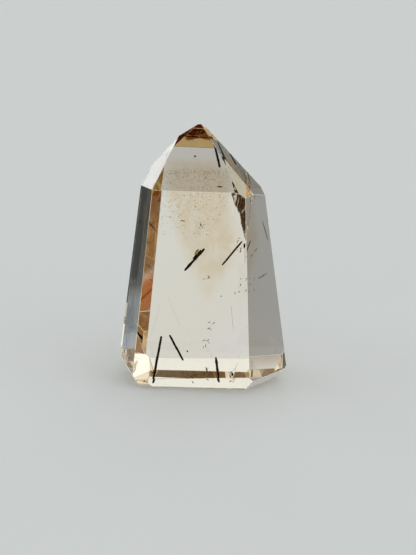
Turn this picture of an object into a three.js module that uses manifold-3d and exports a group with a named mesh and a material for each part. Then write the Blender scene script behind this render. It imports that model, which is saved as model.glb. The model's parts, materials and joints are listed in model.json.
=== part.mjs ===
// Rutilated quartz tower, in millimetres, +Z up, front toward -Y.
//
// A small polished point of clear, faintly smoky quartz that stands on its flat base. Six long
// sides lean in toward a shoulder, six facets and one sliver close the tip, and a narrow bevel
// runs round the base. Dark needles of another mineral are sealed in the stone.
//
// The quartz is one natural piece. It is parted here in two along a slanting plane, so that each
// sealed needle is a solid of its own that lies in a pocket. The origin is the middle of the base.

import * as THREE from 'three';
import { mergeVertices } from 'three/addons/utils/BufferGeometryUtils.js';
import Module from 'manifold-3d';

// Rough block that the facets are ground from, and the grinding block that takes material away.
const roughWidth = 60;
const roughHeight = 55;
const grinderSize = 240;

// A facet is a flat cut. turn: the way it faces, in degrees from the front toward the left.
// lean: how far its outward normal points up, in degrees. reach: its distance from the origin.
const longSides = [
  { name: 'front', turn: 7.5, lean: 5, reach: 8.75 },
  { name: 'left front', turn: 73, lean: 7, reach: 14.15 },
  { name: 'left back', turn: 131.5, lean: 5.5, reach: 13.85 },
  { name: 'back', turn: 180.5, lean: 2.5, reach: 9.65 },
  { name: 'right back', turn: -109.5, lean: 8.5, reach: 14.35 },
  { name: 'right front', turn: -50, lean: 5, reach: 12.85 },
];
const tipFacets = [
  { name: 'front', turn: 7.5, lean: 36.5, reach: 25.75 },
  { name: 'left front', turn: 75, lean: 34, reach: 28.1 },
  { name: 'left back', turn: 127.5, lean: 46.5, reach: 35.25 },
  { name: 'back', turn: 183, lean: 40, reach: 31.6 },
  { name: 'right back', turn: -106, lean: 40, reach: 30.25 },
  { name: 'right front', turn: -59.5, lean: 46, reach: 32.2 },
  { name: 'sliver beside the front facet', turn: -42, lean: 44.5, reach: 31.35 },
];
const baseBevels = [
  { name: 'front', turn: 4, lean: -40.5, reach: 4.85 },
  { name: 'left front', turn: 75.5, lean: -27, reach: 11.1 },
  { name: 'left back', turn: 119, lean: -39, reach: 8.65 },
  { name: 'back', turn: 181.5, lean: -46, reach: 5.2 },
  { name: 'right back', turn: -111, lean: -45, reach: 7.85 },
  { name: 'right front', turn: -50, lean: -45, reach: 7.35 },
];

// Plane that parts the stone through every needle, and the gap kept between touching solids.
const parting = { turn: 0, lean: 9, reach: 4.45 };
const gap = 0.3;

// Needles: two ends, the width across the middle, and how the width varies from the
// first end to the second. A needle has six sides, as its crystals do.
const needleSides = 6;
const even = [0.7, 1, 0.94, 1.04, 0.9, 0.98, 0.62];
const knotted = [0.6, 0.95, 1.2, 0.98, 1.12, 0.9, 1.05, 0.74];
const tapered = [0.5, 0.72, 0.86, 0.9, 1.02, 1.08, 0.8];
const needles = [
  { name: 'needle_centre', from: [-3.05, -3.2, 21.2], to: [0.5, 0.2, 24.5], width: 0.5, swell: knotted },
  { name: 'needle_upper_right', from: [3.75, -0.6, 21.8], to: [7, -3.2, 26.55], width: 0.34, swell: even },
  { name: 'needle_lower_left', from: [-7.15, -2.4, 8.8], to: [-8.6, -5.9, 1.85], width: 0.46, swell: even },
  { name: 'needle_lower_middle', from: [-5.7, -5.2, 9.65], to: [-3.2, -2.6, 4.5], width: 0.44, swell: even },
  { name: 'needle_base_right', from: [2.75, -2.8, 5.15], to: [3.1, -6.4, 2.05], width: 0.46, swell: knotted },
  { name: 'needle_tip', from: [1.88, 2.6, 42.45], to: [2.95, 0.4, 38.3], width: 0.38, swell: tapered },
  { name: 'needle_tip_right', from: [3.9, 2.75, 40.1], to: [5.05, 0.75, 38.8], width: 0.36, swell: even },
];

// Finishes: clear smoky quartz, and the near-black mineral of the needles.
const quartzFinish = { color: 0xd9d3c0, roughness: 0.04, metalness: 0, opacity: 0.45 };
const needleFinish = { color: 0x17110d, roughness: 0.35, metalness: 0.1 };

const wasm = await Module();
wasm.setup();

// A closed three.js shape as a solid that can be joined and cut.
function solidFrom(geometry) {
  geometry.deleteAttribute('normal');
  geometry.deleteAttribute('uv');
  const merged = mergeVertices(geometry, 1e-5);
  const vertProperties = new Float32Array(merged.attributes.position.array);
  const triVerts = new Uint32Array(merged.index.array);
  return new wasm.Manifold(new wasm.Mesh({ numProp: 3, vertProperties, triVerts }));
}

// A solid back as a three.js shape.
function shapeFrom(solid) {
  const mesh = solid.getMesh();
  const geometry = new THREE.BufferGeometry();
  geometry.setAttribute('position', new THREE.BufferAttribute(new Float32Array(mesh.vertProperties), 3));
  geometry.setIndex(new THREE.BufferAttribute(new Uint32Array(mesh.triVerts), 1));
  geometry.computeVertexNormals();
  return geometry;
}

// Unit vector that a facet's flat face looks along.
function outward(facet) {
  const turn = THREE.MathUtils.degToRad(facet.turn);
  const lean = THREE.MathUtils.degToRad(facet.lean);
  const level = Math.cos(lean);
  return new THREE.Vector3(-Math.sin(turn) * level, -Math.cos(turn) * level, Math.sin(lean));
}

// Grinds away everything beyond a plane, given by its outward direction and distance.
function grind(solid, direction, distance) {
  const block = new THREE.BoxGeometry(grinderSize, grinderSize, grinderSize);
  block.translate(0, 0, grinderSize / 2);
  const turned = new THREE.Quaternion().setFromUnitVectors(new THREE.Vector3(0, 0, 1), direction);
  block.applyQuaternion(turned);
  block.translate(direction.x * distance, direction.y * distance, direction.z * distance);
  return solid.subtract(solidFrom(block));
}

// The whole stone, ground from a rough block that stands on the base plane.
function towerSolid() {
  const rough = new THREE.BoxGeometry(roughWidth, roughWidth, roughHeight);
  rough.translate(0, 0, roughHeight / 2);
  let stone = solidFrom(rough);
  for (const facet of [...longSides, ...tipFacets, ...baseBevels]) {
    stone = grind(stone, outward(facet), facet.reach);
  }
  return stone;
}

// A needle, or with extra above zero the pocket that it lies in.
function needleShape(needle, extra) {
  const from = new THREE.Vector3(...needle.from);
  const to = new THREE.Vector3(...needle.to);
  const along = new THREE.Vector3().subVectors(to, from);
  const length = along.length() + 2 * extra;
  const steps = needle.swell.length - 1;
  const profile = [new THREE.Vector2(0, -length / 2)];
  needle.swell.forEach((swell, step) => {
    const radius = (swell * needle.width) / 2 + extra;
    profile.push(new THREE.Vector2(radius, length * (step / steps - 0.5)));
  });
  profile.push(new THREE.Vector2(0, length / 2));
  const shape = new THREE.LatheGeometry(profile, needleSides);
  const turned = new THREE.Quaternion().setFromUnitVectors(new THREE.Vector3(0, 1, 0), along.normalize());
  shape.applyQuaternion(turned);
  const middle = new THREE.Vector3().addVectors(from, to).multiplyScalar(0.5);
  shape.translate(middle.x, middle.y, middle.z);
  return shape;
}

function quartzMesh(name, solid) {
  const material = new THREE.MeshStandardMaterial({ ...quartzFinish, transparent: true, flatShading: true });
  const mesh = new THREE.Mesh(shapeFrom(solid), material);
  mesh.name = name;
  return mesh;
}

function needleMesh(needle) {
  const material = new THREE.MeshStandardMaterial({ ...needleFinish, flatShading: true });
  const mesh = new THREE.Mesh(shapeFrom(solidFrom(needleShape(needle, 0))), material);
  mesh.name = needle.name;
  return mesh;
}

const tower = new THREE.Group();

let stone = towerSolid();
for (const needle of needles) {
  stone = stone.subtract(solidFrom(needleShape(needle, gap)));
}
const forward = outward(parting);
const backward = forward.clone().negate();
tower.add(quartzMesh('quartz_front', grind(stone, backward, -(parting.reach + gap / 2))));
tower.add(quartzMesh('quartz_back', grind(stone, forward, parting.reach - gap / 2)));

for (const needle of needles) {
  tower.add(needleMesh(needle));
}

export default tower;
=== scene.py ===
"""Looks of the rutilated quartz tower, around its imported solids.

The stone stands on a pale studio floor. Lengths below are in millimetres where a name ends in
_mm and in metres elsewhere. +Z is up the tower and -Y is toward its wide front side.
"""

import json
import logging
import math
import random
from collections import Counter
from collections.abc import Callable
from dataclasses import dataclass, replace
from enum import Enum

import bmesh
import bpy
from mathutils import Matrix, Vector, noise

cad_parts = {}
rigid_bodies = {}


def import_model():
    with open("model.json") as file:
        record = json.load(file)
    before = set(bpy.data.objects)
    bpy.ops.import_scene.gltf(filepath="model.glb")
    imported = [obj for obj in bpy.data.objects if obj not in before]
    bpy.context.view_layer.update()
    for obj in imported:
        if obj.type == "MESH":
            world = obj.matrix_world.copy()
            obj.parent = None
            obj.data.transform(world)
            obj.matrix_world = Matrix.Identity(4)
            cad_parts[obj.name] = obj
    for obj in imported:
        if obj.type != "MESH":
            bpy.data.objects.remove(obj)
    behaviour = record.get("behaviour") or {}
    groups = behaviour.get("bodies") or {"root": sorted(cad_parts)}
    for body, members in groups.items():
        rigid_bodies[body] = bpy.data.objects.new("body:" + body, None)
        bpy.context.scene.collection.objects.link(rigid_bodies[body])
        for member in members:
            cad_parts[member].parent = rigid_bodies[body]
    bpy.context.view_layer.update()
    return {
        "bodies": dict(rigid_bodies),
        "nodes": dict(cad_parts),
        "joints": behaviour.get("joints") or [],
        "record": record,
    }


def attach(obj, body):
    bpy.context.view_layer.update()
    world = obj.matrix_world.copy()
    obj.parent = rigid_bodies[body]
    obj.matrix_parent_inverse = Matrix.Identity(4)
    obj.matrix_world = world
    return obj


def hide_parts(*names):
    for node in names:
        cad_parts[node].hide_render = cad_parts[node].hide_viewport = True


MM = 0.001
BODY = "root"
HALVES = ("quartz_front", "quartz_back")

Place = tuple[float, float, float]
Flat = tuple[float, float]
Colour = tuple[float, float, float]

log = logging.getLogger("quartz_tower")


class Slot(Enum):
    """Material slots of the record."""

    QUARTZ = "quartz"
    NEEDLES = "needles"


def heading(turn: float, lean: float) -> Vector:
    """Gives the unit vector that points a given way.

    Args:
        turn: Degrees from straight back toward the left, seen from above.
        lean: Degrees above the horizon.

    Returns:
        The unit vector.
    """
    level = math.cos(math.radians(lean))
    return Vector((
        -math.sin(math.radians(turn)) * level,
        math.cos(math.radians(turn)) * level,
        math.sin(math.radians(lean)),
    ))


def new_piece(name: str, shape: bmesh.types.BMesh) -> bpy.types.Object:
    """Makes a shape a piece of the scene.

    Args:
        name: The piece's name.
        shape: Its faces, in metres, in place. It is used up.

    Returns:
        The new object.
    """
    mesh = bpy.data.meshes.new(name)
    shape.to_mesh(mesh)
    shape.free()
    piece = bpy.data.objects.new(name, mesh)
    bpy.context.scene.collection.objects.link(piece)
    return piece


def new_finish(name: str, surface: dict[str, object]) -> bpy.types.Material:
    """Makes a material.

    Args:
        name: The material's name.
        surface: The constants of its surface, by the socket's name.

    Returns:
        The material.
    """
    finish = bpy.data.materials.new(name)
    finish.use_nodes = True
    sockets = finish.node_tree.nodes["Principled BSDF"].inputs
    for socket, value in surface.items():
        sockets[socket].default_value = value
    return finish


def ease(share: float) -> float:
    """Holds a share between 0 and 1 and levels it out toward both."""
    held = min(1.0, max(0.0, share))
    return held * held * (3 - 2 * held)


@dataclass(frozen=True)
class Facets:
    """The flat sides that the stone lies between.

    Attributes:
        sides: Outward direction and reach, in metres, of each flat side.
    """

    sides: tuple[tuple[Vector, float], ...]

    def cover(self, point: Vector) -> float:
        """Gives how deep a point lies under the stone's surface, below zero outside."""
        return min(reach - facing.dot(point) for facing, reach in self.sides)

    def sink(self, point: Vector, depth: float) -> Vector:
        """Moves a point inward where it isn't deep enough.

        Args:
            point: The point.
            depth: The least depth under every side, in metres.

        Returns:
            The point, or one just deep enough.
        """
        moved = point.copy()
        for facing, reach in self.sides:
            short = depth - (reach - facing.dot(moved))
            if short > 0:
                moved -= facing * short
        return moved


@dataclass(frozen=True)
class Leaf:
    """A thin closed sheet laid on a plane, as a grid that closes at its rim.

    Attributes:
        origin_mm: Point on the plane.
        across: Direction of the grid's first axis.
        up: Direction of its second axis, square to the first.
        step_mm: Size of a grid cell.
        reach_mm: How far the grid runs along both axes from the origin.
    """

    origin_mm: Place
    across: Place
    up: Place
    step_mm: float = 0.15
    reach_mm: tuple[Flat, Flat] = ((0.0, 10.0), (0.0, 10.0))

    def facing(self) -> Vector:
        """Gives the direction square to the plane."""
        return Vector(self.across).cross(Vector(self.up)).normalized()

    def point(self, place: Flat, off_mm: float = 0.0) -> Vector:
        """Gives the point, in metres, at a place on the plane and a distance off it."""
        spot = Vector(self.origin_mm) + Vector(self.across) * place[0] + Vector(self.up) * place[1]
        return (spot + self.facing() * off_mm) * MM

    def place(self, corner: tuple[int, int]) -> Flat:
        """Gives the place, in mm along both axes, of a corner of the grid."""
        return tuple(low + index * self.step_mm for index, (low, _) in zip(corner, self.reach_mm))

    def lay(
        self,
        mesh: bmesh.types.BMesh,
        holds: Callable[[Flat], bool],
        wave_mm: Callable[[Flat], float],
        half_mm: Callable[[Flat], float],
        hollow: bool,
    ) -> int:
        """Adds the sheet to a mesh.

        Args:
            mesh: The mesh that it goes into.
            holds: Whether the sheet covers a place.
            wave_mm: How far its middle stands off the plane at a place.
            half_mm: Half its thickness at a place.
            hollow: Whether it is a gap in a solid, with its faces turned into the gap.

        Returns:
            How many grid cells it covers.
        """
        counts = [int((high - low) / self.step_mm) for low, high in self.reach_mm]
        cells = []
        for column in range(counts[0]):
            for row in range(counts[1]):
                if holds(self.place((column + 0.5, row + 0.5))):
                    cells.append((column, row))

        def ring(cell: tuple[int, int]) -> tuple[tuple[int, int], ...]:
            """Gives a cell's four corners in order."""
            column, row = cell
            return ((column, row), (column + 1, row), (column + 1, row + 1), (column, row + 1))

        shared = Counter(corner for cell in cells for corner in ring(cell))
        inner = {corner for corner, count in shared.items() if count == 4}
        cells = [cell for cell in cells if any(corner in inner for corner in ring(cell))]
        pairs = {}
        for corner in sorted({corner for cell in cells for corner in ring(cell)}):
            place = self.place(corner)
            middle = wave_mm(place)
            if corner in inner:
                half = half_mm(place)
                over = mesh.verts.new(self.point(place, middle + half))
                pairs[corner] = (over, mesh.verts.new(self.point(place, middle - half)))
            else:
                rim = mesh.verts.new(self.point(place, middle))
                pairs[corner] = (rim, rim)
        for cell in cells:
            over = [pairs[corner][0] for corner in ring(cell)]
            under = [pairs[corner][1] for corner in ring(cell)]
            if hollow:
                over.reverse()
            else:
                under.reverse()
            for corners in (over, under):
                mesh.faces.new(corners).smooth = hollow
        return len(cells)


def covers(outline: tuple[Flat, ...], place: Flat) -> bool:
    """Tells whether an outline goes round a place.

    Args:
        outline: The outline's corners in order.
        place: The place.

    Returns:
        Whether it is inside.
    """
    inside = False
    for start, end in zip(outline, outline[1:] + outline[:1]):
        if (start[1] > place[1]) != (end[1] > place[1]):
            crossing = start[0] + (place[1] - start[1]) / (end[1] - start[1]) * (end[0] - start[0])
            if place[0] < crossing:
                inside = not inside
    return inside


def rim_distance(outline: tuple[Flat, ...], place: Flat) -> float:
    """Gives the distance from a place to an outline.

    Args:
        outline: The outline's corners in order.
        place: The place.

    Returns:
        The distance.
    """
    spot = Vector(place)
    nearest = math.inf
    for start, end in zip(outline, outline[1:] + outline[:1]):
        first, along = Vector(start), Vector(end) - Vector(start)
        share = min(1.0, max(0.0, (spot - first).dot(along) / along.length_squared))
        nearest = min(nearest, (spot - first - along * share).length)
    return nearest


def ripple(place: Flat, waves: tuple[Flat, ...], shift: float) -> float:
    """Gives the height of an uneven surface, as a sum of soft waves.

    Args:
        place: The place on the surface.
        waves: Length and height of each wave.
        shift: Tells one surface from another.

    Returns:
        The height.
    """
    total = 0.0
    for length, height in waves:
        total += height * noise.noise(Vector((place[0] / length, place[1] / length, shift)))
    return total


@dataclass(frozen=True)
class ClearBody:
    """A clear body: plain transmission, and absorption that tints it with depth.

    Attributes:
        name: The material's name.
        ior: Its index of refraction. At 1 it bends no light, and only takes some up.
        tint: Light left of each colour after a long way through it.
        density: How fast the tint builds up, per metre.
    """

    name: str
    ior: float
    tint: Colour
    density: float

    def make(self) -> bpy.types.Material:
        """Makes the material."""
        finish = new_finish(self.name, {
            "Base Color": (1, 1, 1, 1),
            "Roughness": 0.0,
            "IOR": self.ior,
            "Transmission Weight": 1.0,
        })
        nodes, links = finish.node_tree.nodes, finish.node_tree.links
        body = nodes.new("ShaderNodeVolumeAbsorption")
        body.inputs["Color"].default_value = (*self.tint, 1)
        body.inputs["Density"].default_value = self.density
        links.new(body.outputs["Volume"], nodes["Material Output"].inputs["Volume"])
        return finish


CLEAR_QUARTZ = ClearBody("clear_smoky_quartz", 1.544, (0.83, 0.57, 0.05), 12.0)
PHANTOM_DUST = ClearBody("phantom_dust", 1.0, (0.85, 0.66, 0.34), 88.0)
# Painted reflection: a dark red-brown absorption that stands in for the warm surroundings mirrored inside
# the tip.
TIP_REFLECTION_TINT = ClearBody("tip_painted_reflection", 1.0, (0.5, 0.26, 0.06), 4600.0)


@dataclass(frozen=True)
class Mineral:
    """A mineral sealed in the quartz, mottled between two colours.

    Attributes:
        name: The material's name.
        deep: Its darker colour.
        light: Its lighter colour, where it thins.
        mottle: How fine the mottling is, per metre.
        roughness: How dull its surface is.
        gloss: Its specular level.
        seen_through: How much light passes.
        levels: Levels of the mottling at which it is darkest and lightest.
        groove_mm: How deep its surface is grooved.
    """

    name: str
    deep: Colour
    light: Colour
    mottle: float = 900.0
    roughness: float = 0.35
    gloss: float = 0.12
    seen_through: float = 0.0
    levels: Flat = (0.42, 0.75)
    groove_mm: float = 0.02

    def make(self) -> bpy.types.Material:
        """Makes the material."""
        finish = new_finish(self.name, {
            "Roughness": self.roughness,
            "Specular IOR Level": self.gloss,
            "Transmission Weight": self.seen_through,
        })
        nodes, links = finish.node_tree.nodes, finish.node_tree.links
        surface = nodes["Principled BSDF"]
        place = nodes.new("ShaderNodeTexCoord")
        patches = nodes.new("ShaderNodeTexNoise")
        patches.inputs["Scale"].default_value = self.mottle
        patches.inputs["Detail"].default_value = 4.0
        colours = nodes.new("ShaderNodeValToRGB")
        for stop, level, colour in zip(colours.color_ramp.elements, self.levels, (self.deep, self.light)):
            stop.position = level
            stop.color = (*colour, 1)
        grooves = nodes.new("ShaderNodeBump")
        grooves.inputs["Strength"].default_value = 0.3
        grooves.inputs["Distance"].default_value = self.groove_mm * MM
        links.new(place.outputs["Object"], patches.inputs["Vector"])
        links.new(patches.outputs["Fac"], colours.inputs["Fac"])
        links.new(patches.outputs["Fac"], grooves.inputs["Height"])
        links.new(colours.outputs["Color"], surface.inputs["Base Color"])
        links.new(grooves.outputs["Normal"], surface.inputs["Normal"])
        return finish


NEEDLE = Mineral("needle_mineral", (0.006, 0.004, 0.003), (0.05, 0.026, 0.014))
BROWN_NEEDLE = Mineral("brown_needle_mineral", (0.05, 0.024, 0.01), (0.2, 0.11, 0.05))
HAIR = Mineral("reddish_hair_mineral", (0.09, 0.018, 0.01), (0.26, 0.09, 0.05))
SPECK = Mineral("dark_brown_specks", (0.03, 0.008, 0.005), (0.13, 0.045, 0.02))
SCALE = Mineral("golden_scale", (0.62, 0.42, 0.1), (0.95, 0.75, 0.32), 2500.0, 0.3, 0.5, 0.85)
DUST = Mineral("brown_dust_grains", (0.2, 0.13, 0.07), (0.45, 0.34, 0.22), 700.0, 0.6)


@dataclass(frozen=True)
class Crack:
    """A thin gap of air inside the stone, which mirrors light as a real break does.

    Attributes:
        name: What it is.
        leaf: The plane that it lies on.
        outline: Its outline on the plane, in mm.
        light_gap: Middle and radius, in mm, of a spot inside it that holds together.
        gap_mm: Width of the gap deep inside.
        mouth_mm: Width that it gains near the stone's surface.
        skin_mm: Quartz left over it.
        fray_mm: How ragged its outline is.
        waves: Length and height, in mm, of its unevenness.
        calm: Share of that unevenness left away from its outline.
        calm_mm: How far in from its outline the unevenness has calmed.
        mouth_depth_mm: How deep the wider mouth goes.
        bend: How much its upper part turns off the plane, as a slope.
        bend_from_mm: Height at which that begins, and the height that it takes.
        bend_line: Slope and reach, in mm, of the line that it turns about.
        shift: Tells its unevenness from that of others.
    """

    name: str
    leaf: Leaf
    outline: tuple[Flat, ...]
    light_gap: Place = (0.0, 0.0, 0.0)
    gap_mm: float = 0.03
    mouth_mm: float = 0.09
    skin_mm: float = 0.05
    fray_mm: float = 0.16
    waves: tuple[Flat, ...] = ((3.0, 0.05), (0.9, 0.012), (0.35, 0.005))
    calm: float = 0.4
    calm_mm: float = 0.9
    mouth_depth_mm: float = 0.7
    bend: float = 0.0
    bend_from_mm: Flat = (7.8, 1.6)
    bend_line: Flat = (1.57, 12.1)
    shift: float = 0.0

    def cut(self, stone: bmesh.types.BMesh, facets: Facets) -> int:
        """Opens the crack in the stone's mesh.

        Args:
            stone: The stone.
            facets: Its flat sides.

        Returns:
            How many grid cells the crack covers.
        """
        frays = ((1.1, self.fray_mm * 1.4), (0.4, self.fray_mm))

        def holds(place: Flat) -> bool:
            """Tells whether the stone is broken at a place."""
            torn = (
                place[0] + ripple(place, frays, self.shift + 20),
                place[1] + ripple(place, frays, self.shift + 40),
            )
            apart = math.dist(torn, self.light_gap[:2]) >= self.light_gap[2]
            deep = facets.cover(self.leaf.point(place)) > self.skin_mm * MM
            return apart and deep and covers(self.outline, torn)

        def wave(place: Flat) -> float:
            """Gives how far the crack stands off its plane at a place."""
            inner = min(1.0, rim_distance(self.outline, place) / self.calm_mm)
            rough = ripple(place, self.waves, self.shift) * (1 - (1 - self.calm) * inner)
            turned = ease((place[1] - self.bend_from_mm[0]) / self.bend_from_mm[1])
            beyond = place[0] - self.bend_line[0] * place[1] + self.bend_line[1]
            return rough + self.bend * turned * beyond

        def half(place: Flat) -> float:
            """Gives half its width at a place, wider toward its mouth."""
            depth = max(0.0, facets.cover(self.leaf.point(place))) / MM
            return 0.5 * (self.gap_mm + self.mouth_mm * math.exp(-depth / self.mouth_depth_mm))

        return self.leaf.lay(stone, holds, wave, half, hollow=True)


SHOULDER_CRACK = Crack(
    "break at the right shoulder",
    Leaf(
        (7.33, -7.71, 26.57),
        (-0.3014, 0.9535, 0.0),
        (0.1893, 0.0598, 0.9801),
        0.13,
        ((-2.5, 18.0), (-0.3, 14.5)),
    ),
    (
        (-0.1, 0.0), (0.88, 1.17), (3.23, 2.6), (5.46, 4.79), (7.2, 5.5), (8.66, 6.0),
        (10.2, 6.85), (11.5, 7.65), (11.2, 8.1), (12.5, 8.8), (14.6, 9.55), (19.0, 11.5),
        (19.0, 16.0), (-3.0, 16.0), (-3.0, 0.0),
    ),
    light_gap=(9.3, 7.3, 0.3),
    mouth_mm=0.05,
    bend=0.041,
)


GRAIN_UNEVEN = (0.6, 1.3)
FINE_GRAIN_UNEVEN = (0.75, 1.15)


def add_grain(
    mesh: bmesh.types.BMesh,
    place: Vector,
    size: float,
    chance: random.Random,
    stretch: float = 1.0,
    fine: int = 0,
    hollow: bool = False,
) -> None:
    """Adds a small uneven grain.

    Args:
        mesh: The mesh that it goes into.
        place: Its middle, in metres.
        size: Its radius, in metres.
        chance: Source of its unevenness.
        stretch: How many times longer than wide it stands.
        fine: How many times its faces are parted.
        hollow: Whether it is a gap in a solid, with its faces turned into the gap.
    """
    if fine:
        made = bmesh.ops.create_icosphere(mesh, subdivisions=fine, radius=1.0)["verts"]
        for vertex in made:
            vertex.co *= chance.uniform(*FINE_GRAIN_UNEVEN)
            vertex.co.z *= stretch
            vertex.co = place + vertex.co * size
        return
    axes = [Vector([chance.gauss(0, 1) for _ in range(3)]).normalized()]
    axes.append(axes[0].orthogonal().normalized())
    axes.append(axes[0].cross(axes[1]))
    tips = []
    for axis in axes:
        for sign in (1, -1):
            tips.append(mesh.verts.new(place + axis * sign * size * chance.uniform(*GRAIN_UNEVEN)))
    for first in (0, 1):
        for second in (2, 3):
            for third in (4, 5):
                corners = [tips[first], tips[second], tips[third]]
                if (first + second + third + hollow) % 2:
                    corners.reverse()
                mesh.faces.new(corners)


@dataclass(frozen=True)
class CrushedRim:
    """Tiny gaps where the stone is crushed along the mouth of the shoulder crack.

    Attributes:
        mouth: Corners of the line that they lie along, in mm.
        gap_mm: Distance from one to the next.
        size_mm: Smallest and largest radius.
        inset_mm: How far right of the line they lie, by turns.
        skin_mm: Quartz left over them.
        seed: Tells their sizes from others.
    """

    mouth: tuple[Place, ...] = (
        (7.27, -0.42, 38.54), (7.54, -1.78, 37.65), (7.66, -4.07, 36.45), (7.62, -4.68, 36.2),
        (7.98, -4.77, 35.87), (8.2, -5.3, 34.9), (8.35, -5.6, 34.3),
    )
    gap_mm: float = 0.3
    size_mm: Flat = (0.07, 0.13)
    inset_mm: Flat = (0.16, 0.26)
    skin_mm: float = 0.03
    seed: int = 5

    def cut(self, stone: bmesh.types.BMesh, facets: Facets) -> int:
        """Opens the gaps in the stone's mesh.

        Args:
            stone: The stone.
            facets: Its flat sides.

        Returns:
            How many gaps there are.
        """
        chance = random.Random(self.seed)
        made = 0
        for start, end in zip(self.mouth, self.mouth[1:]):
            first, last = Vector(start), Vector(end)
            count = max(1, int((last - first).length / self.gap_mm))
            for step in range(count):
                size = chance.uniform(*self.size_mm)
                place = first.lerp(last, (step + 0.5) / count)
                place += Vector((self.inset_mm[step % 2], 0.0, 0.0))
                sunk = facets.sink(place * MM, (size * GRAIN_UNEVEN[1] + self.skin_mm) * MM)
                add_grain(stone, sunk, size * MM, chance, hollow=True)
                made += 1
        return made


CHIP_LEAF = Leaf((0, 0, 0), (0.59, 0.807, 0.0), (0.291, -0.213, 0.9327), 0.06, ((-1.3, 1.3), (-1.3, 1.3)))
CHIP_WAVES = ((0.8, 0.12), (0.35, 0.05), (0.18, 0.02))
CHIP_OUTLINE = ((-1.1, -0.6), (-0.2, -1.0), (0.7, -0.7), (1.1, 0.1), (0.5, 1.0), (-0.6, 0.9))


def chip(number: int, place_mm: Place, turned: float) -> Crack:
    """Describes a small bruise at the left of the base, as from a knock.

    Args:
        number: Tells it from the others.
        place_mm: Its middle.
        turned: Degrees that it is turned about the vertical.

    Returns:
        The crack.
    """
    turn = Matrix.Rotation(math.radians(turned), 3, "Z")
    across, up = (tuple(turn @ Vector(way)) for way in (CHIP_LEAF.across, CHIP_LEAF.up))
    leaf = replace(CHIP_LEAF, origin_mm=place_mm, across=across, up=up)
    return Crack(
        f"bruise {number}",
        leaf,
        CHIP_OUTLINE,
        waves=CHIP_WAVES,
        calm=1.0,
        fray_mm=0.25,
        shift=float(number),
    )


BASE_CHIPS = (
    chip(1, (-13.7, 0.3, 4.0), 0.0),
    chip(2, (-13.2, 0.1, 2.9), 25.0),
    chip(3, (-12.5, -0.2, 1.9), -20.0),
    chip(5, (-12.7, 0.9, 3.9), 40.0),
    chip(6, (-11.9, 0.5, 2.6), 10.0),
)
SPARK_LEAF = Leaf((0, 0, 0), (0.333, 0.943, 0.0), (-0.397, 0.14, 0.906), 0.04, ((-0.4, 0.4), (-0.4, 0.4)))
SPARK_OUTLINE = ((-0.26, -0.1), (-0.05, -0.3), (0.22, -0.16), (0.28, 0.14), (0.02, 0.3), (-0.2, 0.16))


def spark(number: int, place_mm: Place) -> Crack:
    """Describes a tiny flat flake at the mouth of the shoulder crack, which glints.

    Args:
        number: Tells it from the others.
        place_mm: Its middle.

    Returns:
        The flake's gap.
    """
    return Crack(
        f"glint {number}",
        replace(SPARK_LEAF, origin_mm=place_mm),
        SPARK_OUTLINE,
        mouth_mm=0.0,
        skin_mm=0.03,
        fray_mm=0.07,
        waves=((0.4, 0.01),),
        shift=10.0 + number,
    )


GLINTS = (
    spark(1, (7.5, -4.2, 35.9)),
    spark(2, (7.62, -4.6, 35.5)),
    spark(3, (7.95, -5.0, 34.95)),
    spark(4, (8.4, -4.95, 34.4)),
    spark(5, (8.3, -5.45, 33.6)),
    spark(6, (7.64, -6.65, 29.57)),
)
BASE_FLASH = Crack(
    "bright fleck at the right of the base",
    Leaf((5.5, -5.0, 2.2), (-0.6, 0.75, 0.275), (0.417, 0.0, 0.909), 0.08, ((-1.5, 1.5), (-0.3, 3.6))),
    ((-0.4, 0.0), (1.1, 0.1), (0.8, 0.7), (0.45, 1.1), (0.25, 1.7), (0.12, 3.3), (-0.1, 1.6), (-0.3, 0.8)),
    mouth_mm=0.02,
    fray_mm=0.08,
    shift=4.0,
)


@dataclass
class QuartzTower:
    """The whole stone, one clear piece again from the two halves that it is parted in.

    Attributes:
        edge_mm: Width that the polish takes off each edge.
        flat_deg: Faces that meet flatter than this are one facet.
        cracks: The breaks inside it.
    """

    edge_mm: float = 0.07
    flat_deg: float = 0.5
    cracks: tuple[Crack, ...] = (SHOULDER_CRACK, *GLINTS, *BASE_CHIPS, BASE_FLASH)

    def shape(self, frame: dict) -> tuple[bmesh.types.BMesh, Facets]:
        """Closes the two halves into one faceted stone.

        Args:
            frame: The loaded frame.

        Returns:
            The stone's mesh with polished edges, and its flat sides.
        """
        stone = bmesh.new()
        for half in HALVES:
            for vertex in frame["nodes"][half].data.vertices:
                stone.verts.new(vertex.co)
        made = bmesh.ops.convex_hull(stone, input=stone.verts)
        loose = [part for part in made["geom_interior"] if isinstance(part, bmesh.types.BMVert)]
        bmesh.ops.delete(stone, geom=loose, context="VERTS")
        bmesh.ops.dissolve_limit(
            stone,
            angle_limit=math.radians(self.flat_deg),
            verts=stone.verts,
            edges=stone.edges,
        )
        if stone.calc_volume(signed=True) < 0:
            bmesh.ops.reverse_faces(stone, faces=stone.faces)
        stone.normal_update()
        sides = []
        for face in stone.faces:
            sides.append((face.normal.copy(), face.normal.dot(face.calc_center_median())))
        bmesh.ops.bevel(
            stone,
            geom=stone.edges,
            offset=self.edge_mm * MM,
            offset_type="OFFSET",
            segments=2,
            profile=0.5,
            affect="EDGES",
        )
        return stone, Facets(tuple(sides))

    def build(self, frame: dict) -> tuple[bpy.types.Object, Facets]:
        """Builds the stone with the breaks inside it.

        Args:
            frame: The loaded frame.

        Returns:
            The stone and its flat sides.
        """
        shape, facets = self.shape(frame)
        for crack in self.cracks:
            log.info("%s: %d cells", crack.name, crack.cut(shape, facets))
        log.info("crushed rim: %d gaps", CrushedRim().cut(shape, facets))
        return new_piece("quartz_tower", shape), facets

    def dress(self, stone: bpy.types.Object) -> None:
        """Gives the stone its finish and lets it stand for both halves."""
        stone.data.materials.append(CLEAR_QUARTZ.make())
        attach(stone, BODY)
        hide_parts(*HALVES)


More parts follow.
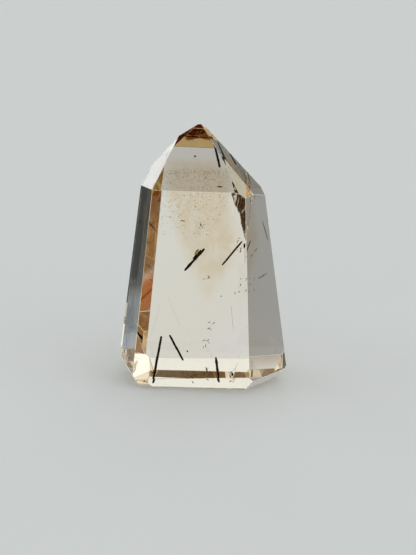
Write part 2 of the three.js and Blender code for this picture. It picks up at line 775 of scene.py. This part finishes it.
def add_rod(
    mesh: bmesh.types.BMesh,
    path: list[Vector],
    radii: list[float],
    sides: int,
    groove: float = 0.0,
) -> None:
    """Adds a closed rod along a path.

    Args:
        mesh: The mesh that it goes into.
        path: Its middle line, in metres.
        radii: Its radius at each point of the path.
        sides: How many sides it has.
        groove: How deep every other edge lies, as a share of the radius.
    """
    along = (path[-1] - path[0]).normalized()
    side = along.orthogonal().normalized()
    rings = []
    for middle, radius in zip(path, radii):
        ring = []
        for index in range(sides):
            turned = Matrix.Rotation(2 * math.pi * index / sides, 3, along) @ side
            ring.append(mesh.verts.new(middle + turned * radius * (1 - groove * (index % 2))))
        rings.append(ring)
    for lower, upper in zip(rings, rings[1:]):
        for index in range(sides):
            after = (index + 1) % sides
            mesh.faces.new((lower[index], lower[after], upper[after], upper[index]))
    mesh.faces.new(list(reversed(rings[0])))
    mesh.faces.new(rings[-1])


NONE = (0.0, 0.0)


@dataclass(frozen=True)
class Crystal:
    """One needle crystal.

    Attributes:
        node: The solid that it stands for.
        start: One end, in mm.
        end: The other end, in mm.
        width: Width across the middle, in mm.
        swell: How the width varies from the first end to the second.
        twin: Start and end, as shares of the length, of a thinner crystal grown beside it.
        mineral: What it is made of.
    """

    node: str
    start: Place
    end: Place
    width: float
    swell: tuple[float, ...]
    twin: Flat = NONE
    mineral: Mineral = NEEDLE


EVEN = (0.8, 0.98, 1.0, 0.96, 1.05, 0.95, 1.02, 0.96, 0.78)
KNOTTED = (0.7, 0.96, 1.2, 0.98, 0.9, 1.14, 0.92, 1.08, 0.96, 0.76)
TAPERED = (0.5, 0.72, 0.86, 0.9, 1.0, 1.06, 1.12, 1.08, 0.85)


@dataclass
class Needles:
    """The seven needle crystals: grooved along their length, each in its solid's place.

    Attributes:
        groove: How deep its grooves are, as a share of its radius.
        swelling: Length, in rings, and share of the small unevenness of its width.
        wander_mm: How far it strays from a straight line, in so many soft bends.
        twin_way: The way in which its thinner twin lies beside it, off by a share of its width.
    """

    sides: int = 12
    rings: int = 30
    groove: float = 0.09
    swelling: Flat = (2.3, 0.12)
    wander_mm: float = 0.03
    bends: int = 4
    twin_way: Place = (-0.8, 0.1, 0.6)
    twin_gap: float = 0.62
    twin_width: float = 0.5
    twin_sides: int = 6
    crystals: tuple[Crystal, ...] = (
        Crystal("needle_centre", (-3.05, -3.2, 21.2), (0.5, 0.2, 24.5), 0.5, KNOTTED, (0.5, 0.93)),
        Crystal("needle_upper_right", (3.75, -0.6, 21.8), (7, -3.2, 26.55), 0.34, EVEN, NONE, BROWN_NEEDLE),
        Crystal("needle_lower_left", (-7.15, -2.4, 8.8), (-8.77, -6.31, 1.03), 0.46, EVEN),
        Crystal("needle_lower_middle", (-5.7, -5.2, 9.65), (-3.2, -2.6, 4.5), 0.44, EVEN),
        Crystal("needle_base_right", (2.75, -2.8, 5.15), (3.1, -6.4, 2.05), 0.46, KNOTTED),
        Crystal("needle_tip", (1.86, 2.6, 42.55), (2.95, 0.4, 38.3), 0.4, TAPERED),
        Crystal("needle_tip_right", (3.9, 2.75, 40.2), (5.12, 0.75, 38.8), 0.4, EVEN),
    )

    def grow(self, crystal: Crystal, shift: float) -> bpy.types.Object:
        """Builds one needle.

        Args:
            crystal: The needle's sizes.
            shift: Tells its unevenness from that of others.

        Returns:
            The needle.
        """
        start, end = Vector(crystal.start), Vector(crystal.end)
        path, radii = [], []
        for ring in range(self.rings + 1):
            share = ring / self.rings
            spot = share * (len(crystal.swell) - 1)
            low = min(int(spot), len(crystal.swell) - 2)
            swell = crystal.swell[low] + (crystal.swell[low + 1] - crystal.swell[low]) * (spot - low)
            swell *= 1 + ripple((ring, 0.0), (self.swelling,), shift)
            waves = ((1.0, self.wander_mm),)
            stray = Vector([ripple((share * self.bends, row), waves, shift) for row in (3, 6, 9)])
            path.append((start.lerp(end, share) + stray) * MM)
            radii.append(0.5 * crystal.width * swell * MM)
        shape = bmesh.new()
        add_rod(shape, path, radii, self.sides, self.groove)
        if crystal.twin[1] > 0:
            first, last = (round(share * self.rings) for share in crystal.twin)
            beside = Vector(self.twin_way).normalized() * crystal.width * self.twin_gap * MM
            thin = [radius * self.twin_width for radius in radii[first:last]]
            add_rod(shape, [spot + beside for spot in path[first:last]], thin, self.twin_sides)
        return new_piece(crystal.node + "_crystal", shape)

    def build(self) -> int:
        """Builds and dresses every needle, each in place of its solid.

        Returns:
            How many needles were built.
        """
        finishes = {}
        for number, crystal in enumerate(self.crystals):
            if crystal.mineral not in finishes:
                finishes[crystal.mineral] = crystal.mineral.make()
            needle = self.grow(crystal, 1.7 * number)
            needle.data.materials.append(finishes[crystal.mineral])
            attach(needle, BODY)
            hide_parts(crystal.node)
        return len(self.crystals)


def seal(name: str, shape: bmesh.types.BMesh, finish: Mineral | ClearBody) -> None:
    """Makes a shape a piece that is sealed in the stone.

    Args:
        name: The piece's name.
        shape: Its faces. It is used up.
        finish: What it is made of.
    """
    piece = new_piece(name, shape)
    piece.data.materials.append(finish.make())
    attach(piece, BODY)
    log.info("%s: %d faces", name, len(piece.data.polygons))


@dataclass
class Inclusions:
    """The small things sealed in the quartz beside the needles. Lengths are in mm.

    Attributes:
        seed: Tells their unevenness from that of others.
        hairs: Both ends and the radius of each reddish hair.
        wisps: Lowest and highest corner of a box, and how many short bent hairs lie in it.
        wisp_length: Shortest and longest of those.
        wisp_radius: Thinnest and thickest of those.
        wisp_bend: The most that one bends to either side, in radians.
        specks: Place, radius and stretch of each dark speck.
        dark_lines: Line and radius of each dark brown line along the shoulder crack.
        dark_line_stray: How far a dark line strays from its line.
        scale: The plane of the golden scale.
        scale_outline: Its outline on that plane.
        dust_tries: How many grains of dust are placed. Those outside the cloud are left out.
        dust_across: Left and right end of the cloud of dust.
        dust_deep: Its front and back.
        dust_top: Its top, and how far down it thins out.
        dust_thinning: How fast it thins downward.
        dust_edge: Its slanting right edge: reach, height and slope.
        dust_skin: Quartz left over a grain.
        dust_radius: Smallest radius of a grain, and what the largest adds.
    """

    seed: int = 11
    hairs: tuple[tuple[Place, Place, float], ...] = (
        ((9.98, -2.4, 29.9), (10.69, -0.6, 26.21), 0.11),
        ((7.56, -5.0, 24.04), (8.2, -4.6, 24.6), 0.07),
        ((8.4, -4.45, 24.8), (9.11, -4.0, 25.42), 0.08),
        ((9.1, -4.0, 19.95), (10.5, -3.3, 20.25), 0.09),
        ((10.0, -3.6, 20.3), (11.14, -3.0, 20.55), 0.08),
        ((2.52, -1.0, 34.91), (3.49, -1.0, 34.9), 0.13),
        ((-3.77, -2.0, 29.98), (-3.06, -2.0, 29.8), 0.08),
        ((5.29, -3.0, 14.98), (5.81, -3.0, 10.2), 0.018),
        ((-1.71, -5.0, 2.2), (-1.45, -5.0, 1.5), 0.08),
        ((0.93, -4.0, 3.5), (1.3, -4.0, 2.6), 0.06),
        ((7.28, -7.5, 26.2), (7.3, -7.85, 23.6), 0.03),
    )
    wisps: tuple[tuple[Place, Place, int], ...] = (
        ((1.11, -2.0, 9.9), (2.53, -2.0, 11.6), 7),
        ((0.38, -3.0, 7.0), (1.44, -3.0, 8.9), 7),
        ((0.45, -1.0, 18.7), (1.56, -1.0, 19.9), 4),
        ((-0.31, 0.0, 28.2), (0.45, 0.0, 29.1), 5),
        ((5.6, -3.2, 15.3), (8.0, -4.0, 20.2), 9),
        ((6.0, -5.4, 24.5), (7.0, -5.6, 28.0), 8),
        ((0.7, -4.2, 2.7), (1.5, -4.0, 3.7), 4),
    )
    specks: tuple[tuple[Place, float, float], ...] = (
        ((-1.52, 0.0, 40.69), 0.2, 1.0),
        ((-5.66, -3.0, 30.61), 0.09, 1.0),
        ((-5.2, -3.0, 30.2), 0.06, 1.0),
        ((-2.45, -3.0, 6.25), 0.15, 1.1),
        ((3.58, -2.0, 16.34), 0.12, 1.0),
        ((7.18, -7.35, 26.55), 0.2, 2.2),
        ((1.4, -1.2, 5.9), 0.07, 1.0),
    )
    # Dark brown rods just under the surface, along the edges of the shoulder crack.
    dark_lines: tuple[tuple[tuple[Place, ...], float], ...] = (
        (((5.2, 7.0, 34.75), (5.32, 6.55, 34.58), (5.8, 4.35, 33.53), (6.11, 3.0, 33.0)), 0.09),
        (((8.23, -5.58, 34.44), (8.0, -6.28, 31.23), (7.66, -6.9, 29.75)), 0.06),
        (((6.98, -0.42, 38.62), (7.3, -1.78, 37.75), (7.42, -4.07, 36.5)), 0.06),
    )
    dark_line_stray: float = 0.05
    wisp_length: Flat = (0.25, 0.7)
    wisp_radius: Flat = (0.03, 0.065)
    wisp_bend: float = 1.2
    scale: Leaf = Leaf(
        (-1.36, -1.95, 23.6),
        (0.62, 0.1, 0.78),
        (-0.78, 0.0, 0.62),
        0.05,
        ((0.0, 1.7), (-0.3, 0.6)),
    )
    scale_outline: tuple[Flat, ...] = (
        (0.1, 0.02), (0.4, -0.12), (0.9, -0.16), (1.35, -0.1),
        (1.55, 0.08), (1.25, 0.3), (0.7, 0.34), (0.3, 0.2),
    )
    dust_tries: int = 1500
    dust_across: Flat = (-8.0, 6.0)
    dust_deep: Flat = (0.6, 3.2)
    dust_top: Flat = (37.2, 10.5)
    dust_thinning: float = 1.8
    dust_edge: Place = (6.6, 36.0, 0.5)
    dust_skin: float = 0.5
    dust_radius: Flat = (0.03, 0.07)

    def add_wisp(
        self,
        mesh: bmesh.types.BMesh,
        low: Place,
        high: Place,
        chance: random.Random,
    ) -> None:
        """Adds one short bent hair inside a box.

        Args:
            mesh: The mesh that it goes into.
            low: The box's lowest corner.
            high: Its highest corner.
            chance: Source of the hair's place and bend.
        """
        middle = Vector([chance.uniform(first, last) for first, last in zip(low, high)])
        turn = chance.uniform(0, math.pi)
        bend = chance.uniform(-self.wisp_bend, self.wisp_bend)
        length = chance.uniform(*self.wisp_length)
        path = []
        for step in range(6):
            share = step / 5 - 0.5
            angle = turn + bend * share
            along = Vector((math.cos(angle), 0.2, math.sin(angle)))
            path.append((middle + along * length * share) * MM)
        thick = chance.uniform(*self.wisp_radius) * MM
        add_rod(mesh, path, [thick * 0.4, thick, thick, thick, thick, thick * 0.4], 5)

    def build_hairs(self) -> None:
        """Builds the reddish hairs, and the short bent ones that lie in groups."""
        chance = random.Random(self.seed)
        shape = bmesh.new()
        for start, end, radius in self.hairs:
            path, radii = [], []
            for step in range(9):
                share = step / 8
                stray = Vector([chance.uniform(-0.3, 0.3) * radius for _ in range(3)])
                path.append((Vector(start).lerp(Vector(end), share) + stray) * MM)
                radii.append(radius * MM * (0.5 if step in (0, 8) else chance.uniform(0.75, 1.1)))
            add_rod(shape, path, radii, 6)
        for low, high, count in self.wisps:
            for _ in range(count):
                self.add_wisp(shape, low, high, chance)
        seal("rutile_hairs", shape, HAIR)

    def build_specks(self, facets: Facets) -> None:
        """Builds the dark specks, and the dark brown lines along the edges of the shoulder crack.

        Args:
            facets: The stone's flat sides.
        """
        chance = random.Random(self.seed + 1)
        shape = bmesh.new()
        for place, radius, stretch in self.specks:
            add_grain(shape, Vector(place) * MM, radius * MM, chance, stretch, fine=2)
        for line, radius in self.dark_lines:
            path, radii = [], []
            for start, end in zip(line, line[1:]):
                for step in range(8):
                    spot = Vector(start).lerp(Vector(end), step / 8)
                    stray = [chance.uniform(-self.dark_line_stray, self.dark_line_stray) for _ in range(3)]
                    spot += Vector(stray)
                    path.append(facets.sink(spot * MM, (radius + 0.06) * MM))
                    radii.append(radius * MM * chance.uniform(0.4, 1.2))
            add_rod(shape, path, radii, 6)
        seal("mineral_specks", shape, SPECK)

    def build_scale(self) -> None:
        """Builds the golden scale that sits beside the centre needle's upper end."""
        chance = random.Random(self.seed + 2)
        shape = bmesh.new()
        fray, wave = ((0.3, 0.12),), ((0.4, 0.05),)
        self.scale.lay(
            shape,
            lambda place: covers(self.scale_outline, (place[0], place[1] + ripple(place, fray, 3))),
            lambda place: ripple(place, wave, 5),
            lambda place: 0.02 + 0.02 * chance.random(),
            hollow=False,
        )
        seal("golden_scale", shape, SCALE)

    def build_dust(self, facets: Facets) -> None:
        """Builds the loose grains round the phantom.

        Args:
            facets: The stone's flat sides.
        """
        chance = random.Random(self.seed + 3)
        shape = bmesh.new()
        reach, level, slope = self.dust_edge
        for _ in range(self.dust_tries):
            height = self.dust_top[0] - self.dust_top[1] * chance.random() ** self.dust_thinning
            place = Vector((chance.uniform(*self.dust_across), chance.uniform(*self.dust_deep), height))
            beyond = place.x + slope * (level - height) > reach
            if beyond or facets.cover(place * MM) < self.dust_skin * MM:
                continue
            size = self.dust_radius[0] + self.dust_radius[1] * chance.random() ** 3
            add_grain(shape, place * MM, size * MM, chance)
        seal("phantom_grains", shape, DUST)

    def build(self, facets: Facets) -> None:
        """Builds all of them.

        Args:
            facets: The stone's flat sides.
        """
        self.build_hairs()
        self.build_specks(facets)
        self.build_scale()
        self.build_dust(facets)


@dataclass(frozen=True)
class Veil:
    """A cloudy layer sealed in the stone, which tints the light that passes it. The one in the tip is a
    painted reflection.

    Attributes:
        name: Its name.
        leaf: The plane that it lies on.
        outline: Its outline on the plane, in mm.
        fade_mm: How far in from its outline it reaches its full strength.
        thick_mm: Its thickness where it is strongest.
        clouds: Length, in mm, and share of each unevenness of its thickness.
        dust: What it is made of: dust in the phantom, and in the tip a tint that is a painted reflection.
        cover_mm: Quartz left over its middle plane. A little less is left over its clouds.
        gain: Share of its thickness at the origin, and what each mm upward adds.
        least: Least share of its thickness.
        sway: Length and height, in mm, of the waves that its middle lies in.
    """

    name: str
    leaf: Leaf
    outline: tuple[Flat, ...]
    fade_mm: float
    thick_mm: float
    clouds: tuple[Flat, ...]
    dust: ClearBody
    cover_mm: float
    gain: Flat = (0.9, 0.03)
    least: float = 0.02
    sway: Flat = (4.0, 0.1)

    def build(self, facets: Facets) -> None:
        """Builds and dresses it.

        Args:
            facets: The stone's flat sides.
        """

        def holds(place: Flat) -> bool:
            """Tells whether it covers a place."""
            deep = facets.cover(self.leaf.point(place)) > self.cover_mm * MM
            return deep and covers(self.outline, place)

        def half(place: Flat) -> float:
            """Gives half its thickness at a place."""
            soft = ease(rim_distance(self.outline, place) / self.fade_mm)
            higher = self.gain[0] + self.gain[1] * max(0.0, place[1])
            cloudy = max(self.least, soft * higher * (1 + ripple(place, self.clouds, 7.0)))
            room = facets.cover(self.leaf.point(place)) / MM - 0.6 * self.cover_mm
            return min(0.5 * self.thick_mm * cloudy, max(0.01, room))

        shape = bmesh.new()
        self.leaf.lay(shape, holds, lambda place: ripple(place, (self.sway,), 9.0), half, hollow=False)
        seal(self.name, shape, self.dust)


PHANTOM = Veil(
    "phantom_veil",
    Leaf((0.0, 2.2, 14.2), (1.0, 0.0, 0.0), (0.0, 0.087, 0.9962), 0.15, ((-8.5, 8.5), (-1.5, 25.6))),
    (
        (-6.6, 25.2), (-7.9, 22.0), (-7.0, 18.0), (-6.1, 14.5), (-5.2, 11.6), (-4.4, 9.0),
        (-2.6, 5.2), (-1.0, 1.6), (1.0, -1.4), (2.9, 0.4), (4.7, 3.4), (6.6, 6.2),
        (7.9, 9.5), (7.8, 13.0), (6.6, 16.5), (6.4, 19.5), (6.2, 22.4), (3.0, 25.0), (-2.2, 25.4),
    ),
    fade_mm=3.4,
    thick_mm=4.2,
    clouds=((2.6, 0.5), (1.1, 0.5), (0.5, 0.4)),
    dust=PHANTOM_DUST,
    cover_mm=0.8,
)
# Painted reflection: a thin dark red-brown layer in the tip, in place of the warm surroundings that the
# tip's facets mirror.
TIP_REFLECTION_VEIL = Veil(
    "tip_painted_reflection",
    Leaf(
        (-1.06, 1.115, 43.84),
        (0.9914, -0.1305, 0.0),
        (0.0776, 0.5897, 0.8038),
        0.12,
        ((-2.76, 2.76), (-0.84, 0.96)),
    ),
    (
        (-2.5, -0.1), (-1.9, -0.55), (-1.0, -0.5), (-0.3, -0.15), (0.5, -0.1), (1.2, -0.3),
        (2.3, -0.35), (2.4, 0.3), (1.5, 0.75), (0.0, 0.7), (-1.4, 0.75), (-2.4, 0.4),
    ),
    fade_mm=0.5,
    thick_mm=0.6,
    clouds=((0.9, 0.6), (0.4, 0.4)),
    dust=TIP_REFLECTION_TINT,
    cover_mm=0.16,
)


@dataclass(frozen=True)
class Glow:
    """A soft patch of the studio's surroundings.

    Attributes:
        name: What it stands for.
        turn: Degrees from straight behind the stone toward the left.
        lean: Degrees above the horizon.
        full: Half angle of its even middle, in degrees.
        fade: Half angle at which it has faded out, in degrees.
        light: Its red, green and blue light.
    """

    name: str
    turn: float
    lean: float
    full: float
    fade: float
    light: Colour


GLOWS = tuple(Glow(*row) for row in (
    ("table under the stone", 0, -90, 25, 45, (0.06, 0.02, 0.008)),
    ("cream card under the front", 167, -74, 12.5, 14, (0.44, 0.37, 0.22)),
    ("dark side of the camera", 163, -4, 8, 16, (0.08, 0.075, 0.07)),
    ("dark brown card left of the camera", 159, -18, 14, 20, (0.03, 0.018, 0.007)),
    ("dark over the camera", 153, 64, 10, 20, (0.04, 0.035, 0.03)),
    ("shade behind the front tip facet", -3, -34, 5, 12, (0.475, 0.48, 0.47)),
    ("cool card behind the front", -9, -24, 2, 6, (0.7, 0.735, 0.79)),
    ("shade behind the right side", 33, -20, 6, 12, (0.3, 0.305, 0.3)),
    ("amber card behind", 24, -11.5, 2, 4.5, (0.24, 0.19, 0.05)),
    ("grey card at the left", 52, -20, 5, 10, (0.17, 0.15, 0.13)),
    ("dark card at the back left", 31.5, -9, 5, 7, (0.1, 0.125, 0.14)),
    ("soft box at the back left", 26, 6, 4.5, 8, (2.25, 2.5, 2.65)),
    ("shade at the left", 80, -20, 10, 20, (0.35, 0.37, 0.4)),
    ("dark brown card at the left", 62, -4, 4, 8, (0.03, 0.015, 0.006)),
    ("dark brown card low at the left", 107, -29, 5, 9, (0.03, 0.015, 0.006)),
    ("dark card low at the right", -40, -42, 7, 12, (0.03, 0.02, 0.02)),
    ("dim card low behind", -24, -49, 4, 8, (0.25, 0.27, 0.28)),
    ("rosy card low at the right", -53, -29, 3, 7, (0.2, 0.13, 0.13)),
    ("black card at the right", -67, -22, 9, 14, (0.004, 0.006, 0.008)),
    ("dim blue card at the right", -68, -26, 1.5, 3, (0.2, 0.25, 0.3)),
    ("blue card at the right", -71, -27.5, 1.5, 3.5, (0.35, 0.42, 0.52)),
    ("pale card far right", -75, -30, 1, 5, (0.5, 0.5, 0.55)),
    ("tan card far right", -90, -29, 3, 7, (0.2, 0.15, 0.08)),
    ("dark card at the back right", -39, 29, 7, 12, (0.05, 0.05, 0.05)),
    ("soft box at the front right", -138, 31.5, 3, 7, (1.3, 1.4, 1.6)),
    ("white card low at the back", 26, -44, 4, 9, (0.58, 0.62, 0.6)),
    ("cream card high at the back right", -41, 48, 5, 9, (0.88, 0.83, 0.68)),
    ("white card behind", -3, 9.5, 5, 9, (0.94, 0.98, 0.95)),
    ("grey card low at the left", 67, -51, 5, 10, (0.22, 0.23, 0.26)),
    ("grey card low at the back left", 48, -51, 5, 10, (0.215, 0.24, 0.25)),
    ("grey card at the far right", -95, -9, 5, 10, (0.25, 0.27, 0.32)),
    ("grey card high behind", 19, 40, 5, 9, (0.2, 0.22, 0.26)),
    ("grey card high at the front left", 143, 33, 5, 10, (0.22, 0.24, 0.28)),
    ("grey card high at the left", 64, 39, 5, 10, (0.22, 0.24, 0.28)),
    ("dim card at the back left", 33, 19, 4, 8, (0.3, 0.27, 0.24)),
    ("dim card overhead", -13, 66, 5, 9, (0.45, 0.5, 0.55)),
    ("brown card low at the back", 4, -52, 4, 9, (0.04, 0.032, 0.02)),
    ("red-brown card low at the front", -151, -60, 4, 8, (0.06, 0.008, 0.003)),
    ("red-brown card under the front", 176, -69, 4, 8, (0.07, 0.012, 0.004)),
    ("red-brown card below the camera", 178, -52, 4, 8, (0.07, 0.012, 0.004)),
    ("red-brown card over the camera", 180, 37, 5, 12, (0.07, 0.01, 0.003)),
    ("red-brown card at the camera", -179, 12, 3, 6, (0.07, 0.012, 0.004)),
    ("red-brown card at the back", -12, 17, 5, 9, (0.05, 0.01, 0.003)),
    ("red-brown card at the right", -97, 44, 4, 8, (0.07, 0.02, 0.006)),
    ("warm card at the right", -66, 32, 12, 20, (0.3, 0.26, 0.22)),
    ("brown card overhead", -64, 84, 5, 12, (0.13, 0.105, 0.08)),
    ("brown card high at the back", 21, 50, 4, 9, (0.12, 0.07, 0.04)),
    ("brown card high at the left", 121, 65, 7, 13, (0.18, 0.13, 0.09)),
    ("tan card high at the left", 94, 66, 4, 9, (0.2, 0.14, 0.1)),
    ("brown card high at the front left", 144, 56, 4, 9, (0.26, 0.21, 0.14)),
    ("dark card at the front right", -136.5, -31, 3, 5.5, (0.03, 0.04, 0.045)),
    ("brown card low at the front right", -131.5, -35, 2.5, 4.5, (0.14, 0.04, 0.003)),
    ("tan card low at the front right", -135.5, -38.5, 1.5, 3, (0.28, 0.16, 0.07)),
    ("orange card low at the front right", -142, -43, 2.5, 5, (0.46, 0.15, 0.04)),
    ("brown card low at the front left", 129, -24, 6, 10, (0.2, 0.14, 0.09)),
    ("brown card at the front left", 129, 21.5, 5, 9, (0.22, 0.14, 0.08)),
    ("amber card at the front right", -118, 3, 5, 9, (0.25, 0.135, 0.06)),
    ("tan card at the front left", 137, -3, 5, 9, (0.33, 0.22, 0.17)),
    ("brown card at the back left", 27, 33, 4, 9, (0.2, 0.14, 0.1)),
    ("tan card high at the back left", 37, 41, 4, 7, (0.3, 0.2, 0.13)),
    ("brown card higher at the back left", 43, 57, 5, 9, (0.25, 0.16, 0.11)),
    ("tan card above the left", 88, 50, 5, 9, (0.3, 0.2, 0.13)),
))


def blend(
    tree: bpy.types.NodeTree,
    name: str,
    level: bpy.types.NodeSocket,
    span: Flat,
    under: bpy.types.NodeSocket | Colour,
    over: Colour,
) -> bpy.types.NodeSocket:
    """Turns one light into another while a level rises.

    Args:
        tree: The nodes that it is added to.
        name: What the second light is.
        level: The level.
        span: Where the level's rise starts and ends.
        under: The first light.
        over: The second light.

    Returns:
        The light that comes out.
    """
    share = tree.nodes.new("ShaderNodeMapRange")
    share.interpolation_type = "SMOOTHSTEP"
    share.inputs["From Min"].default_value = span[0]
    share.inputs["From Max"].default_value = span[1]
    tree.links.new(level, share.inputs["Value"])
    mixed = tree.nodes.new("ShaderNodeMix")
    mixed.label = name
    mixed.data_type = "RGBA"
    tree.links.new(share.outputs["Result"], mixed.inputs["Factor"])
    mixed.inputs["B"].default_value = (*over, 1)
    if isinstance(under, tuple):
        mixed.inputs["A"].default_value = (*under, 1)
    else:
        tree.links.new(under, mixed.inputs["A"])
    return mixed.outputs["Result"]


@dataclass
class Studio:
    """Pale sweep, soft surroundings and the camera.

    Attributes:
        floor_rings: Radii of the rings in the floor.
        haze: How far the light under the horizon blends into that over it, as a sine.
        glows: Patches of the surroundings. Later ones lie over earlier ones.
        elevation: How far the camera looks down, in degrees.
        roll: Degrees that it is turned about its own line of sight.
        focal_px: Its focal length, in pixels of its picture.
        bounces: How many facets light crosses.
    """

    floor_rings: tuple[float, ...] = (0.05, 0.3, 1.2)
    floor_radius: float = 4.0
    bend_radius: float = 1.0
    wall_height: float = 3.0
    floor_drop_mm: float = 0.02
    steps_round: int = 96
    steps_bend: int = 12
    paper: Colour = (0.835, 0.872, 0.86)
    below: Colour = (0.7, 0.725, 0.715)
    above: Colour = (0.95, 0.96, 0.97)
    haze: float = 0.12
    glows: tuple[Glow, ...] = GLOWS
    elevation: float = 14.3
    distance_mm: float = 215.0
    aim_mm: Place = (0.91, -0.34, 19.0)
    roll: float = 0.55
    focal_px: float = 1190.0
    frame_height_px: float = 555.0
    sensor_mm: float = 36.0
    bounces: int = 32
    mirror_bounces: int = 16

    def make_camera(self) -> None:
        """Makes the camera, which looks a little down on the stone from the front."""
        down = math.radians(self.elevation)
        forward = Vector((0, math.cos(down), -math.sin(down)))
        level = forward.cross(Vector((0, 0, 1))).normalized()
        rise = level.cross(forward)
        roll = math.radians(self.roll)
        right = level * math.cos(roll) + rise * math.sin(roll)
        up = rise * math.cos(roll) - level * math.sin(roll)
        lens = bpy.data.cameras.new("camera")
        lens.sensor_width = self.sensor_mm
        lens.lens = self.focal_px * self.sensor_mm / self.frame_height_px
        lens.clip_start = 0.01
        lens.clip_end = 100.0
        camera = bpy.data.objects.new("camera", lens)
        bpy.context.scene.collection.objects.link(camera)
        turned = Matrix((right, up, -forward)).transposed()
        place = Vector(self.aim_mm) * MM - forward * self.distance_mm * MM
        camera.matrix_world = Matrix.Translation(place) @ turned.to_4x4()
        bpy.context.scene.camera = camera

    def make_sweep(self) -> None:
        """Makes the pale floor, which bends up into a wall far away all round."""
        profile = [(out, 0.0) for out in (0.0, *self.floor_rings, self.floor_radius)]
        for step in range(1, self.steps_bend + 1):
            angle = math.pi / 2 * step / self.steps_bend
            out = self.floor_radius + self.bend_radius * math.sin(angle)
            profile.append((out, self.bend_radius * (1 - math.cos(angle))))
        profile.append((self.floor_radius + self.bend_radius, self.wall_height))
        sweep = bmesh.new()
        rings = []
        for out, height in profile:
            ring = []
            for step in range(self.steps_round):
                angle = 2 * math.pi * step / self.steps_round
                place = (out * math.cos(angle), out * math.sin(angle), height)
                ring.append(sweep.verts.new(place))
                if out == 0.0:
                    break
            rings.append(ring)
        for inner, outer in zip(rings, rings[1:]):
            for step in range(self.steps_round):
                after = (step + 1) % self.steps_round
                if len(inner) == 1:
                    sweep.faces.new((inner[0], outer[step], outer[after]))
                else:
                    sweep.faces.new((inner[step], outer[step], outer[after], inner[after]))
        for face in sweep.faces:
            face.smooth = True
        piece = new_piece("studio_sweep", sweep)
        piece.data.transform(Matrix.Translation((0, 0, -self.floor_drop_mm * MM)))
        piece.data.materials.append(new_finish("pale_paper", {
            "Base Color": (*self.paper, 1),
            "Roughness": 0.9,
            "Specular IOR Level": 0.0,
        }))
        piece.visible_diffuse = False
        piece.visible_glossy = False
        piece.visible_transmission = False
        piece.visible_volume_scatter = False
        piece.visible_shadow = False

    def make_surroundings(self) -> None:
        """Makes the world: pale all round, with soft patches that the stone mirrors and bends."""
        world = bpy.data.worlds.new("soft_studio")
        world.use_nodes = True
        nodes, links = world.node_tree.nodes, world.node_tree.links
        place = nodes.new("ShaderNodeTexCoord").outputs["Generated"]
        split = nodes.new("ShaderNodeSeparateXYZ")
        links.new(place, split.inputs["Vector"])
        span = (-self.haze, self.haze)
        light = blend(world.node_tree, "horizon", split.outputs["Z"], span, self.below, self.above)
        for glow in self.glows:
            facing = nodes.new("ShaderNodeVectorMath")
            facing.operation = "DOT_PRODUCT"
            facing.inputs[1].default_value = heading(glow.turn, glow.lean)
            links.new(place, facing.inputs[0])
            span = tuple(math.cos(math.radians(angle)) for angle in (glow.fade, glow.full))
            light = blend(world.node_tree, glow.name, facing.outputs["Value"], span, light, glow.light)
        links.new(light, nodes["Background"].inputs["Color"])
        bpy.context.scene.world = world

    def set_look(self) -> None:
        """Lets light cross many facets and shows colours as they are."""
        scene = bpy.context.scene
        scene.view_settings.view_transform = "Standard"
        scene.cycles.max_bounces = self.bounces
        scene.cycles.transmission_bounces = self.bounces
        scene.cycles.glossy_bounces = self.mirror_bounces


def corners(bounds: tuple[Vector, Vector]) -> list[list[float]]:
    """Gives a box's lowest and highest corner as plain lists."""
    return [list(corner) for corner in bounds]


def main() -> None:
    """Builds and dresses the stone, then the studio."""
    logging.basicConfig(level=logging.INFO, format="%(name)s: %(message)s")
    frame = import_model()

    tower = QuartzTower()
    stone, facets = tower.build(frame)
    tower.dress(stone)
    log.info("%s: %d faces", stone.name, len(stone.data.polygons))
    log.info("needles: %d", Needles().build())
    Inclusions().build(facets)
    for veil in (PHANTOM, TIP_REFLECTION_VEIL):
        veil.build(facets)

    studio = Studio()
    studio.make_camera()
    studio.make_sweep()
    studio.make_surroundings()
    studio.set_look()


if __name__ == "__main__":
    main()
